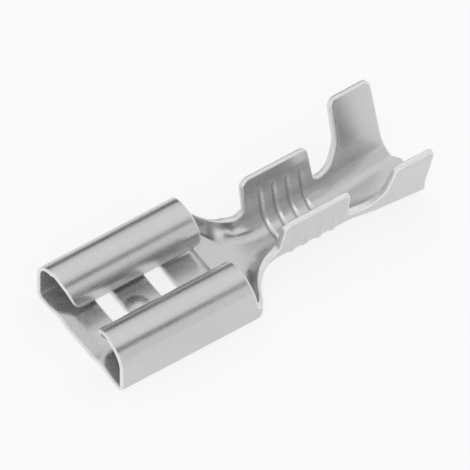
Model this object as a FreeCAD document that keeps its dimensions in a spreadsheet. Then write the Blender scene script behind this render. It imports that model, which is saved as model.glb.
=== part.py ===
import FreeCAD, Part
import math
import os

import Sketcher

# Female spade terminal, stamped and folded from one strip of thin plated sheet.
# X runs from the mouth to the wire end, Y across, Z up from the lowest face of the sheet.
# Sizes along X count from the mouth; the finished part is set with its middle on the origin.
# Lengths are in millimetres, angles in degrees.
SIZES = {
    "sheet_gauge": 0.38,
    # Receptacle: a floor with both side walls curled over inwards.
    "receptacle_length": 8.2,
    "receptacle_width": 7.56,
    "receptacle_height": 3.0,
    "wall_bend": 0.42,
    "curl_radius": 1.32,
    "curl_flat": 0.05,
    "curl_tail_angle": 20.0,
    "curl_tail_flat": 0.28,
    "free_edge_recess": 0.68,
    "free_edge_corner": 1.3,
    "curl_rear_slant": 0.28,
    "curl_rear_corner": 0.5,
    # Raised spring floor between the walls.
    "spring_floor_rise": 0.27,
    "spring_floor_crown": 3.3,
    "spring_floor_foot": 5.6,
    "spring_floor_end": 7.82,
    "spring_floor_ramp": 0.26,
    "spring_floor_bend": 1.5,
    "lip_width": 2.3,
    "lip_flare": 0.5,
    "lip_length": 0.7,
    "lip_edge": 0.24,
    # Windows and detent in the floor.
    "window_width": 3.5,
    "front_window_start": 1.98,
    "front_window_length": 0.95,
    "rear_window_start": 4.88,
    "rear_window_length": 0.98,
    "detent_centre": 3.5,
    "detent_radius": 0.6,
    "detent_rise": 0.2,
    # Neck between the receptacle and the wire barrel.
    "neck_length": 2.7,
    "neck_turn": 0.41,
    "neck_sharpness": 2.8,
    "neck_waist": 0.5,
    "neck_flare": 28.0,
    "neck_wall_height": 1.12,
    "neck_wall_corner": 0.06,
    "neck_wall_dip": 0.2,
    "neck_wall_dip_radius": 1.0,
    "neck_wall_rise": 0.06,
    "neck_wall_rise_run": 0.85,
    "neck_wall_rise_radius": 0.8,
    # Wire barrel: an open U with two wings and four serrations.
    "wire_barrel_length": 4.1,
    "wire_barrel_corner": 2.66,
    "wire_barrel_bend": 1.3,
    "wire_barrel_lean": 11.0,
    "wire_barrel_lift": 0.07,
    "wire_wing_height": 3.56,
    "wire_wing_advance": 0.02,
    "wire_wing_length": 3.98,
    "wire_wing_splay": 0.08,
    "wire_wing_foot_rise": 0.46,
    "wire_wing_foot_run": 0.12,
    "wire_wing_foot_radius": 0.35,
    "wire_wing_chamfer": 0.26,
    "wire_wing_chamfer_run": 0.36,
    "wire_wing_chamfer_radius": 0.38,
    "wire_wing_corner": 0.3,
    "serration_first": 11.76,
    "serration_pitch": 0.8,
    "serration_length": 0.44,
    "serration_rise": 0.07,
    "serration_depth": 0.11,
    "serration_height": 2.7,
    # Insulation barrel: a wider open U with taller wings.
    "barrel_gap": 1.85,
    "barrel_gap_height": 1.44,
    "barrel_gap_corner": 0.3,
    "insulation_barrel_length": 2.36,
    "insulation_front_corner": 2.88,
    "insulation_rear_corner": 3.32,
    "insulation_front_bend": 1.4,
    "insulation_rear_bend": 1.15,
    "insulation_front_lean": 17.0,
    "insulation_rear_lean": 15.0,
    "insulation_wing_height": 4.96,
    "insulation_wing_advance": 0.04,
    "insulation_foot_rise": 1.1,
    "insulation_foot_run": 0.14,
    "insulation_foot_radius": 1.6,
    "insulation_foot_level": 0.9,
    "insulation_foot_corner": 1.0,
    "insulation_wing_chamfer": 0.26,
    "insulation_wing_corner": 0.28,
    "insulation_rear_radius": 0.4,
    "insulation_heel": 0.13,
    "insulation_heel_height": 0.1,
    "insulation_heel_radius": 0.45,
    "insulation_stagger": 0.32,
    "wing_stagger": 0.2,
    "tail_width": 1.34,
    "tail_length": 0.49,
    "tail_flare": 0.26,
    "tail_flare_start": 0.25,
    "tail_corner": 0.12,
}

SERRATIONS = 4
NECK_SHARES = (0.0, 0.1, 0.2, 0.3, 0.4, 0.52, 0.66, 0.82)
WIRE_SHARES = (0.0, 0.15, 0.5, 0.85, 1.0)
INSULATION_SHARES = (0.25, 0.5, 0.75, 1.0)
BEND_FADE = 2.5
DIP_SHARE = 0.22


class Size:
    """A number that carries the expression which drives it from the sheet of sizes."""

    def __init__(self, number, text):
        self.number = number
        self.text = text

    def __add__(self, other):
        return joined(self, "+", other)

    def __radd__(self, other):
        return joined(other, "+", self)

    def __sub__(self, other):
        return joined(self, "-", other)

    def __rsub__(self, other):
        return joined(other, "-", self)

    def __mul__(self, other):
        return joined(self, "*", other)

    def __rmul__(self, other):
        return joined(other, "*", self)

    def __truediv__(self, other):
        return joined(self, "/", other)

    def __rtruediv__(self, other):
        return joined(other, "/", self)

    def __pow__(self, other):
        return joined(self, "^", other)

    def __neg__(self):
        return joined(0, "-", self)


OPERATIONS = {
    "+": lambda left, right: left + right,
    "-": lambda left, right: left - right,
    "*": lambda left, right: left * right,
    "/": lambda left, right: left / right,
    "^": lambda left, right: left**right,
}


def as_size(value):
    return value if isinstance(value, Size) else Size(float(value), f"{value:.9g}")


def joined(left, sign, right):
    left = as_size(left)
    right = as_size(right)
    number = OPERATIONS[sign](left.number, right.number)
    return Size(number, f"({left.text} {sign} {right.text})")


def root(value):
    return Size(math.sqrt(value.number), f"sqrt({value.text})")


def sine(angle):
    return Size(math.sin(math.radians(angle.number)), f"sin({angle.text} * 1deg)")


def cosine(angle):
    return Size(math.cos(math.radians(angle.number)), f"cos({angle.text} * 1deg)")


def tangent(angle):
    return Size(math.tan(math.radians(angle.number)), f"tan({angle.text} * 1deg)")


def blend(start, end, share):
    return start + (end - start) * share


doc = FreeCAD.newDocument("spade_terminal")
sheet = doc.addObject("Spreadsheet::Sheet", "Sizes")
for row, (alias, value) in enumerate(SIZES.items(), start=1):
    sheet.set(f"A{row}", alias)
    sheet.set(f"B{row}", str(value))
    sheet.setAlias(f"B{row}", alias)
doc.recompute()


def size(alias):
    return Size(SIZES[alias], f"Sizes.{alias}")


def origin_plane(body, role):
    for feature in body.Origin.OriginFeatures:
        if feature.Role == role:
            return feature
    raise RuntimeError(f"no plane {role}")


def plane_sketch(body, name, role, offset=None):
    """A sketch on an origin plane of the body, moved along the plane's normal."""
    sketch = body.newObject("Sketcher::SketchObject", name)
    sketch.AttachmentSupport = [(origin_plane(body, role), "")]
    sketch.MapMode = "FlatFace"
    if offset is not None:
        sketch.setExpression("AttachmentOffset.Base.z", as_size(offset).text)
    return sketch


def unit(start, end):
    step = end - start
    return step / step.Length


def corner_turn(points, index):
    """Signed angle in radians by which the outline turns at one corner."""
    before = unit(points[index - 1], points[index])
    after = unit(points[index], points[(index + 1) % len(points)])
    return math.atan2(before.x * after.y - before.y * after.x, before.dot(after))


def corner_arc(points, index, radius):
    """The arc that rounds one corner, drawn counterclockwise as every sketch arc is."""
    turn = corner_turn(points, index)
    side = math.copysign(1.0, turn)
    before = unit(points[index - 1], points[index])
    after = unit(points[index], points[(index + 1) % len(points)])
    reach = radius * math.tan(abs(turn) / 2)
    start = points[index] - before * reach
    centre = start + FreeCAD.Vector(-before.y, before.x, 0) * side * radius
    first = math.atan2((start - centre).y, (start - centre).x)
    finish = points[index] + after * reach
    last = math.atan2((finish - centre).y, (finish - centre).x)
    if side < 0:
        first, last = last, first
    if last < first:
        last += 2 * math.pi
    circle = Part.Circle(centre, FreeCAD.Vector(0, 0, 1), radius)
    return Part.ArcOfCircle(circle, first, last), reach


def draw_outline(sketch, corners):
    """Draws a closed outline through corners of (across, up) or (across, up, radius)."""
    points = [FreeCAD.Vector(as_size(c[0]).number, as_size(c[1]).number, 0) for c in corners]
    count = len(corners)
    arcs = {}
    for index, corner in enumerate(corners):
        if len(corner) == 3:
            arcs[index] = corner_arc(points, index, as_size(corner[2]).number)
    lines = []
    for index in range(count):
        end = (index + 1) % count
        along = unit(points[index], points[end])
        start_trim = arcs[index][1] if index in arcs else 0
        end_trim = arcs[end][1] if end in arcs else 0
        segment = Part.LineSegment(points[index] + along * start_trim, points[end] - along * end_trim)
        lines.append(sketch.addGeometry(segment, False))
    rules = []
    driven = []

    def drive(kind, first, place, value):
        rules.append(Sketcher.Constraint(kind, -1, 1, first, place, value.number))
        driven.append((len(rules) - 1, value.text))

    for index, corner in enumerate(corners):
        before = lines[index - 1]
        after = lines[index]
        if index in arcs:
            arc = sketch.addGeometry(arcs[index][0], False)
            mark = sketch.addGeometry(Part.Point(points[index]), True)
            entry, leave = (1, 2) if corner_turn(points, index) > 0 else (2, 1)
            rules.append(Sketcher.Constraint("Tangent", before, 2, arc, entry))
            rules.append(Sketcher.Constraint("Tangent", after, 1, arc, leave))
            rules.append(Sketcher.Constraint("PointOnObject", mark, 1, before))
            rules.append(Sketcher.Constraint("PointOnObject", mark, 1, after))
            radius = as_size(corner[2])
            rules.append(Sketcher.Constraint("Radius", arc, radius.number))
            driven.append((len(rules) - 1, radius.text))
            held = mark
        else:
            rules.append(Sketcher.Constraint("Coincident", before, 2, after, 1))
            held = after
        drive("DistanceX", held, 1, as_size(corner[0]))
        drive("DistanceY", held, 1, as_size(corner[1]))
    sketch.addConstraint(rules)
    for index, text in driven:
        sketch.setExpression(f"Constraints[{index}]", text)


def pad(body, name, sketch, length, midplane=False):
    feature = body.newObject("PartDesign::Pad", name)
    feature.Profile = sketch
    feature.setExpression("Length", as_size(length).text)
    feature.SideType = "Symmetric" if midplane else "One side"
    return feature


def pocket(body, name, sketch, length, midplane=False, reverse=False):
    feature = body.newObject("PartDesign::Pocket", name)
    feature.Profile = sketch
    feature.setExpression("Length", as_size(length).text)
    feature.SideType = "Symmetric" if midplane else "One side"
    feature.Reversed = reverse
    return feature


def loft(body, name, sketches, add=True, ruled=False):
    kind = "AdditiveLoft" if add else "SubtractiveLoft"
    feature = body.newObject(f"PartDesign::{kind}", name)
    feature.Profile = sketches[0]
    feature.Sections = sketches[1:]
    feature.Ruled = ruled
    return feature


GAUGE = size("sheet_gauge")
MOUTH_END = size("receptacle_length")
NECK_END = MOUTH_END + size("neck_length")
WIRE_END = NECK_END + size("wire_barrel_length")
INSULATION_START = WIRE_END + size("barrel_gap")
TAIL_START = INSULATION_START + size("insulation_barrel_length")
TAIL_END = TAIL_START + size("tail_length")
# The uncut trough is taller than the tallest wing, and every cut runs clear of the sheet.
BLANK_HEIGHT = size("insulation_wing_height") * 1.3
CLEAR = GAUGE * 1.5
SINK = GAUGE * 0.1


def free_edge():
    """Place across and up of the outer corner of the curled sheet's free edge."""
    radius = size("curl_radius")
    angle = size("curl_tail_angle")
    reach = radius * tangent(angle / 2)
    tail = reach + size("curl_tail_flat")
    across = size("receptacle_width") / 2 - 2 * radius - size("curl_flat") + tail * sine(angle)
    up = size("receptacle_height") - radius - size("curl_flat") - reach - tail * cosine(angle)
    return across, up


def receptacle_profile():
    """Closed cross-section of floor, walls and curls, as the sheet is folded."""
    half = size("receptacle_width") / 2
    top = size("receptacle_height")
    radius = size("curl_radius")
    angle = size("curl_tail_angle")
    inner = half - 2 * radius - size("curl_flat")
    bend_level = top - radius - size("curl_flat")
    bend_up = bend_level - radius * tangent(angle / 2)
    inner_bend_up = bend_level - (radius - GAUGE) * tangent(angle / 2)
    tip_across, tip_up = free_edge()
    outside = [
        (tip_across, tip_up),
        (inner, bend_up, radius),
        (inner, top, radius),
        (half, top, radius),
        (half, 0, size("wall_bend")),
    ]
    inside = [
        (half - GAUGE, GAUGE, size("wall_bend") - GAUGE),
        (half - GAUGE, top - GAUGE, radius - GAUGE),
        (inner + GAUGE, top - GAUGE, radius - GAUGE),
        (inner + GAUGE, inner_bend_up, radius - GAUGE),
        (tip_across + GAUGE * cosine(angle), tip_up + GAUGE * sine(angle)),
    ]
    other_outside = [(-c[0], *c[1:]) for c in reversed(outside)]
    other_inside = [(-c[0], *c[1:]) for c in reversed(inside)]
    return [*outside, *other_outside, *other_inside, *inside]


def trough_corners(corner, bend, lean, lift, inset=None, grown=0.0):
    """Cross-section of a U: leaning sides on a flat bottom, open upwards in use."""
    slope = tangent(lean)
    if inset is not None:
        corner = corner + GAUGE * slope - GAUGE * inset / cosine(lean)
        bend = bend - GAUGE
        lift = lift + GAUGE
    grown = as_size(grown)
    corner = corner + grown / cosine(lean) - grown * slope
    bend = bend + grown
    lift = lift - grown
    top = corner + (BLANK_HEIGHT - lift) * slope
    return [(top, BLANK_HEIGHT), (-top, BLANK_HEIGHT), (-corner, lift, bend), (corner, lift, bend)]


def neck_section(share):
    """Half-width, bend, lean, lift and wall slope at a share of the neck's length."""
    sharp = size("neck_sharpness")
    turn = size("neck_turn") ** sharp
    along = as_size(share) ** sharp
    narrowing = turn * (1 - along) / (turn + along)
    spread = size("receptacle_width") / 2 - size("wire_barrel_corner") / 2
    waist = (4 * share * (1 - share)) ** 2
    waist_change = 32 * share * (1 - share) * (1 - 2 * share)
    corner = size("wire_barrel_corner") / 2 + spread * narrowing - size("neck_waist") * waist
    bend = blend(size("wire_barrel_bend"), size("wall_bend"), (1 - share) ** BEND_FADE)
    steepness = sharp * as_size(share) ** (sharp - 1) * turn * (turn + 1) / (turn + along) ** 2
    slope = (steepness * spread + size("neck_waist") * waist_change) / size("neck_length")
    lean = size("wire_barrel_lean") * share + size("neck_flare") * waist
    return corner, bend, lean, size("wire_barrel_lift") * share, root(1 + slope**2)


def trough_stations():
    """Each station of the neck and barrels: place along X and cross-section sizes."""
    stations = []
    for share in NECK_SHARES:
        place = MOUTH_END + size("neck_length") * share
        stations.append((place, *neck_section(share)))
    wire = (
        size("wire_barrel_corner") / 2,
        size("wire_barrel_bend"),
        size("wire_barrel_lean"),
        size("wire_barrel_lift"),
        as_size(1),
    )
    for share in WIRE_SHARES:
        stations.append((NECK_END + size("wire_barrel_length") * share, *wire))
    front = (
        size("insulation_front_corner") / 2,
        size("insulation_front_bend"),
        size("insulation_front_lean"),
        as_size(0),
        as_size(1),
    )
    rear = (
        size("insulation_rear_corner") / 2,
        size("insulation_rear_bend"),
        size("insulation_rear_lean"),
        as_size(0),
        as_size(1),
    )
    middle = [blend(w, f, 0.5) for w, f in zip(wire, front)]
    stations.append((WIRE_END + size("barrel_gap") * 0.5, *middle))
    stations.append((INSULATION_START, *front))
    for share in INSULATION_SHARES:
        section = [blend(f, r, share) for f, r in zip(front, rear)]
        stations.append((blend(INSULATION_START, TAIL_END, share), *section))
    return stations


def trough_sketches(body, name, inner):
    sketches = []
    for index, (place, corner, bend, lean, lift, stretch) in enumerate(trough_stations()):
        sketch = plane_sketch(body, f"{name}_{index}", "YZ_Plane", place)
        draw_outline(sketch, trough_corners(corner, bend, lean, lift, stretch if inner else None))
        sketches.append(sketch)
    return sketches


def serration_sketches(body, name, grown, inner):
    """Three cross-sections of one serration: flush, proud by its height, flush."""
    sketches = []
    for index, (step, rise) in enumerate(((-0.5, -SINK), (0.0, grown), (0.5, -SINK))):
        place = size("serration_first") + size("serration_length") * step
        sketch = plane_sketch(body, f"{name}_{index}", "YZ_Plane", place)
        corners = trough_corners(
            size("wire_barrel_corner") / 2,
            size("wire_barrel_bend"),
            size("wire_barrel_lean"),
            size("wire_barrel_lift"),
            as_size(1) if inner else None,
            rise,
        )
        draw_outline(sketch, lowered(corners, size("serration_height"), size("wire_barrel_lean")))
        sketches.append(sketch)
    return sketches


def lowered(corners, height, lean):
    """The same U with its open top brought down to a height."""
    lower = corners[3]
    top = lower[0] + (height - lower[1]) * tangent(lean)
    return [(top, height), (-top, height), corners[2], corners[3]]


def repeated(body, name, feature):
    pattern = body.newObject("PartDesign::LinearPattern", name)
    pattern.Originals = [feature]
    pattern.Direction = (origin_plane(body, "YZ_Plane"), [""])
    pattern.Mode = "Spacing"
    pattern.setExpression("Offset", size("serration_pitch").text)
    pattern.Occurrences = SERRATIONS
    body.Tip = pattern
    return pattern


def curl_rear(up):
    """Place along X of the slanted rear edge of the curls at a height."""
    wall = size("neck_wall_height")
    return MOUTH_END - size("curl_rear_slant") * (up - wall) / (size("receptacle_height") - wall)


def side_outline(side):
    """Side view of what is cut away above the neck and the wings. Side is 0.5 or -0.5."""
    shift = size("wing_stagger") * side
    tall_shift = size("insulation_stagger") * side
    wall = size("neck_wall_height")
    dip = (MOUTH_END + size("neck_length") * DIP_SHARE, wall - size("neck_wall_dip"))
    front = NECK_END - size("wire_wing_advance") + shift
    rear = front + size("wire_wing_length")
    top = size("wire_wing_height")
    chamfer = (size("wire_wing_chamfer_run"), size("wire_wing_chamfer"))
    foot = (size("wire_wing_foot_run"), size("wire_wing_foot_rise"))
    rise = (size("neck_wall_rise_run"), size("neck_wall_rise"))
    gap = size("barrel_gap_height")
    tall_front = INSULATION_START - size("insulation_wing_advance") + tall_shift
    tall_rear = TAIL_START + shift
    tall_top = size("insulation_wing_height")
    tall_chamfer = size("insulation_wing_chamfer")
    tall_foot = (size("insulation_foot_run"), size("insulation_foot_rise"))
    heel = (tall_rear + size("insulation_heel"), GAUGE + size("insulation_heel_height"))
    above = size("receptacle_height") + CLEAR
    return [
        (curl_rear(above), above),
        (MOUTH_END, wall, size("neck_wall_corner")),
        (*dip, size("neck_wall_dip_radius")),
        (front - rise[0], wall + rise[1], size("neck_wall_rise_radius")),
        (front - foot[0], wall + foot[1], size("wire_wing_foot_radius")),
        (front, top - chamfer[1], size("wire_wing_corner")),
        (front + chamfer[0], top, size("wire_wing_chamfer_radius")),
        (rear - size("wire_wing_splay") / 2, top, size("wire_wing_corner")),
        (rear + size("wire_wing_splay"), gap, size("barrel_gap_corner")),
        (tall_front - size("insulation_foot_level"), gap, size("insulation_foot_corner")),
        (tall_front - tall_foot[0], gap + tall_foot[1], size("insulation_foot_radius")),
        (tall_front, tall_top - tall_chamfer, size("insulation_wing_corner")),
        (tall_front + tall_chamfer, tall_top, size("insulation_wing_corner")),
        (tall_rear, tall_top, size("insulation_rear_radius")),
        (*heel, size("insulation_heel_radius")),
        (TAIL_END + CLEAR, heel[1]),
        (TAIL_END + CLEAR, BLANK_HEIGHT + CLEAR),
        (curl_rear(above), BLANK_HEIGHT + CLEAR),
    ]


def add_receptacle(body):
    profile = plane_sketch(body, "ReceptacleProfile", "YZ_Plane")
    draw_outline(profile, receptacle_profile())
    pad(body, "Receptacle", profile, MOUTH_END)


def add_trough(body):
    loft(body, "TroughOutside", trough_sketches(body, "OutsideStation", False))
    bead_sketches = serration_sketches(body, "SerrationStation", size("serration_rise"), False)
    bead = loft(body, "Serration", bead_sketches)
    doc.recompute()
    repeated(body, "Serrations", bead)
    loft(body, "TroughInside", trough_sketches(body, "InsideStation", True), add=False)
    groove_sketches = serration_sketches(body, "GrooveStation", size("serration_depth"), True)
    groove = loft(body, "SerrationGroove", groove_sketches, add=False)
    doc.recompute()
    repeated(body, "SerrationGrooves", groove)


def trim_sides(body):
    for name, side, reverse in (("Left", -0.5, False), ("Right", 0.5, True)):
        sketch = plane_sketch(body, f"{name}SideOutline", "XZ_Plane")
        draw_outline(sketch, side_outline(side))
        pocket(body, f"{name}SideTrim", sketch, size("receptacle_width"), reverse=reverse)


def trim_tail(body):
    """Leaves the short stub where the terminal was cut from its strip."""
    half = size("tail_width") / 2
    away = size("receptacle_width") / 2
    for name, side in (("Left", 1), ("Right", -1)):
        start = TAIL_START + size("tail_flare_start") - size("wing_stagger") * side / 2
        sketch = plane_sketch(body, f"{name}TailOutline", "XY_Plane", -CLEAR)
        corners = [
            (start, away * side),
            (start, (half + size("tail_flare")) * side, size("tail_corner")),
            (TAIL_END, half * side),
            (TAIL_END + CLEAR, half * side),
            (TAIL_END + CLEAR, away * side),
        ]
        draw_outline(sketch, corners)
        depth = GAUGE + size("insulation_heel_height") + CLEAR * 2
        pocket(body, f"{name}TailTrim", sketch, depth, reverse=True)


def shape_free_edges(body):
    """Rounds the front and rear corners of both curled edges."""
    top = size("receptacle_height")
    edge = free_edge()[1]
    below = blend(size("spring_floor_rise") + GAUGE, edge, 0.3)
    fall = GAUGE * 0.15
    curls = size("receptacle_width") - 2 * size("curl_radius")
    recess = size("free_edge_recess")
    above = top + CLEAR
    end = recess + size("free_edge_corner") * 1.25
    front = [
        (-CLEAR, above),
        (-CLEAR * recess / (top - edge), above),
        (recess, edge, size("free_edge_corner")),
        (end, edge - fall),
        (end, below),
        (-CLEAR, below),
    ]
    shoulder = top * 0.75
    back = curl_rear(shoulder)
    end = back - size("curl_rear_corner") * 1.8
    rear = [
        (MOUTH_END + CLEAR, shoulder),
        (back, shoulder),
        (back, edge, size("curl_rear_corner")),
        (end, edge - fall),
        (end, below),
        (MOUTH_END + CLEAR, below),
    ]
    for name, corners in (("Front", front), ("Rear", rear)):
        sketch = plane_sketch(body, f"FreeEdge{name}", "XZ_Plane")
        draw_outline(sketch, corners)
        pocket(body, f"FreeEdge{name}Cut", sketch, curls, midplane=True)


def half_turn(rise, run):
    """Tangent of half the angle of a slope."""
    slope = rise / run
    return (root(1 + slope**2) - 1) / slope


def raise_floor(body):
    """Presses the middle of the floor upwards as a flat-topped spring."""
    rise = size("spring_floor_rise")
    ramp = size("spring_floor_ramp")
    crown = size("spring_floor_crown") / 2
    foot = size("spring_floor_foot") / 2
    bend = size("spring_floor_bend")
    for name, base, inset, add in (("Top", GAUGE, 0.0, True), ("Bottom", as_size(0), GAUGE, False)):
        side_step = half_turn(rise, foot - crown) * inset
        end = size("spring_floor_end") - half_turn(rise, ramp) * inset
        sections = []
        for index, (place, up) in enumerate(((as_size(0), rise), (end - ramp, rise), (end, as_size(0)))):
            sketch = plane_sketch(body, f"SpringFloor{name}_{index}", "YZ_Plane", place)
            corners = [
                (foot - side_step, base - SINK),
                (crown - side_step, base + up, bend - inset),
                (side_step - crown, base + up, bend - inset),
                (side_step - foot, base - SINK),
            ]
            draw_outline(sketch, corners)
            sections.append(sketch)
        loft(body, f"SpringFloor{name}", sections, add=add, ruled=True)


def lip_section(body, name, place, narrow, wide):
    """A cross-section of the lip with its narrow and wide levels as (half-width, up)."""
    sketch = plane_sketch(body, name, "YZ_Plane", place)
    corners = [wide, (-wide[0], wide[1]), (-narrow[0], narrow[1]), narrow]
    draw_outline(sketch, corners)
    return sketch


def bend_lip(body):
    """Turns the middle of the mouth's floor down to a thin lead-in lip."""
    half = size("lip_width") / 2
    spread = half + size("lip_flare")
    length = size("lip_length")
    under = size("spring_floor_rise")
    top = under + GAUGE
    above = top + SINK / 2
    cut = [
        lip_section(body, "LipCutFront", 0, (half, size("lip_edge")), (spread, above)),
        lip_section(body, "LipCutRear", length, (half, top), (half + SINK, above)),
    ]
    loft(body, "LipCut", cut, add=False, ruled=True)
    thin = SINK / 4
    lip = [
        lip_section(body, "LipFront", 0, (half, as_size(0)), (spread, under + thin)),
        lip_section(body, "LipRear", length * 0.9, (half, under - thin), (half + SINK, under + thin)),
    ]
    loft(body, "Lip", lip, ruled=True)


def press_detent(body):
    """A shallow round bump that snaps into the hole of the mating tab."""
    radius = size("detent_radius")
    rise = size("detent_rise")
    ball = (radius**2 + rise**2) / (rise * 2)
    floor_top = size("spring_floor_rise") + GAUGE
    for name, kind, sphere, level in (
        ("Detent", "Revolution", ball, floor_top),
        ("DetentHollow", "Groove", ball - GAUGE, floor_top - GAUGE),
    ):
        sketch = plane_sketch(body, f"{name}Profile", "XZ_Plane")
        centre_up = floor_top + rise - ball
        draw_dome(sketch, sphere, centre_up, level)
        sketch.setExpression("AttachmentOffset.Base.x", size("detent_centre").text)
        feature = body.newObject(f"PartDesign::{kind}", name)
        feature.Profile = sketch
        feature.ReferenceAxis = (sketch, ["V_Axis"])
        feature.Angle = 360


def draw_dome(sketch, sphere, centre_up, level):
    """Half of a cap of a sphere, from its axis out to where it meets a level."""
    foot_up = level - SINK
    low = (foot_up - centre_up).number
    reach = math.sqrt(sphere.number**2 - low**2)
    centre = FreeCAD.Vector(0, centre_up.number, 0)
    foot = FreeCAD.Vector(reach, foot_up.number, 0)
    crown = FreeCAD.Vector(0, centre_up.number + sphere.number, 0)
    base = FreeCAD.Vector(0, foot_up.number, 0)
    circle = Part.Circle(centre, FreeCAD.Vector(0, 0, 1), sphere.number)
    arc = sketch.addGeometry(Part.ArcOfCircle(circle, math.atan2(low, reach), math.pi / 2), False)
    axis = sketch.addGeometry(Part.LineSegment(crown, base), False)
    flat = sketch.addGeometry(Part.LineSegment(base, foot), False)
    rules = [
        Sketcher.Constraint("Coincident", arc, 2, axis, 1),
        Sketcher.Constraint("Coincident", axis, 2, flat, 1),
        Sketcher.Constraint("Coincident", flat, 2, arc, 1),
        Sketcher.Constraint("PointOnObject", arc, 3, -2),
        Sketcher.Constraint("PointOnObject", axis, 1, -2),
        Sketcher.Constraint("PointOnObject", axis, 2, -2),
        Sketcher.Constraint("Horizontal", flat),
        Sketcher.Constraint("Radius", arc, sphere.number),
        Sketcher.Constraint("DistanceY", -1, 1, arc, 3, centre_up.number),
        Sketcher.Constraint("DistanceY", -1, 1, axis, 2, foot_up.number),
    ]
    sketch.addConstraint(rules)
    sketch.setExpression("Constraints[7]", sphere.text)
    sketch.setExpression("Constraints[8]", centre_up.text)
    sketch.setExpression("Constraints[9]", foot_up.text)


def rectangle(start, end, width):
    half = width / 2
    return [(start, half), (start, -half), (end, -half), (end, half)]


def cut_windows(body):
    depth = size("spring_floor_rise") + GAUGE + SINK * 2
    for name in ("front", "rear"):
        sketch = plane_sketch(body, f"{name.title()}Window", "XY_Plane", -SINK)
        start = size(f"{name}_window_start")
        draw_outline(sketch, rectangle(start, start + size(f"{name}_window_length"), size("window_width")))
        pocket(body, f"{name.title()}WindowCut", sketch, depth, reverse=True)


def build_terminal():
    body = doc.addObject("PartDesign::Body", "Terminal")
    body.Label = "folded_terminal"
    body.setExpression("Placement.Base.x", (TAIL_END / -2).text)
    for step in (
        add_receptacle,
        add_trough,
        trim_sides,
        trim_tail,
        shape_free_edges,
        raise_floor,
        bend_lip,
        press_detent,
        cut_windows,
    ):
        before = body.Shape.Volume if body.Tip else 0.0
        step(body)
        doc.recompute()
        after = body.Shape
        print(f"{step.__name__}: volume {before:.3f} to {after.Volume:.3f}, solids {len(after.Solids)}")
    return body


def check(body):
    for item in doc.Objects:
        if "Invalid" in item.State or "Error" in item.State:
            raise RuntimeError(f"{item.Name} did not build")
    if body.Shape.isNull() or not body.Shape.isValid():
        raise RuntimeError(f"{body.Label} has no valid shape")
    if len(body.Shape.Solids) != 1:
        raise RuntimeError(f"{body.Label} is not one solid")


terminal = build_terminal()
check(terminal)
os.makedirs("parts", exist_ok=True)
terminal.Shape.exportStep(f"parts/{terminal.Label}.step")
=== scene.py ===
import math

import bpy
import numpy as np
from mathutils import Matrix, Vector, geometry, kdtree


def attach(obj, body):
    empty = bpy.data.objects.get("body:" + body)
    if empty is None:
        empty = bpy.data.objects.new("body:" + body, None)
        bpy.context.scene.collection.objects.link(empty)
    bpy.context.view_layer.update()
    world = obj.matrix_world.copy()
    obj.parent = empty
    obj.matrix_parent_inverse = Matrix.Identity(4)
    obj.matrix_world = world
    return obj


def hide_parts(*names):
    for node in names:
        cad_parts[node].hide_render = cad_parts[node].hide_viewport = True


bl_info = {
    "name": "Female spade terminal",
    "version": (1, 0, 0),
    "blender": (4, 5, 0),
    "location": "3D View > Sidebar > Terminal",
    "description": "Stamps a strip of plated sheet and folds it into an open-barrel spade terminal",
    "category": "Object",
}

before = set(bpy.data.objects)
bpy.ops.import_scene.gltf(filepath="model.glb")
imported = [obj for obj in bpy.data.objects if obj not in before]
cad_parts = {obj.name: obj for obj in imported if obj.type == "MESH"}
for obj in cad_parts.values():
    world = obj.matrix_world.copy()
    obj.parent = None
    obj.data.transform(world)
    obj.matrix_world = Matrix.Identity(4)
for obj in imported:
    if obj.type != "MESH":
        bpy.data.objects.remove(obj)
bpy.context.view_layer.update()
SHEET_NODE = "folded_terminal"
MM = 0.001

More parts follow.
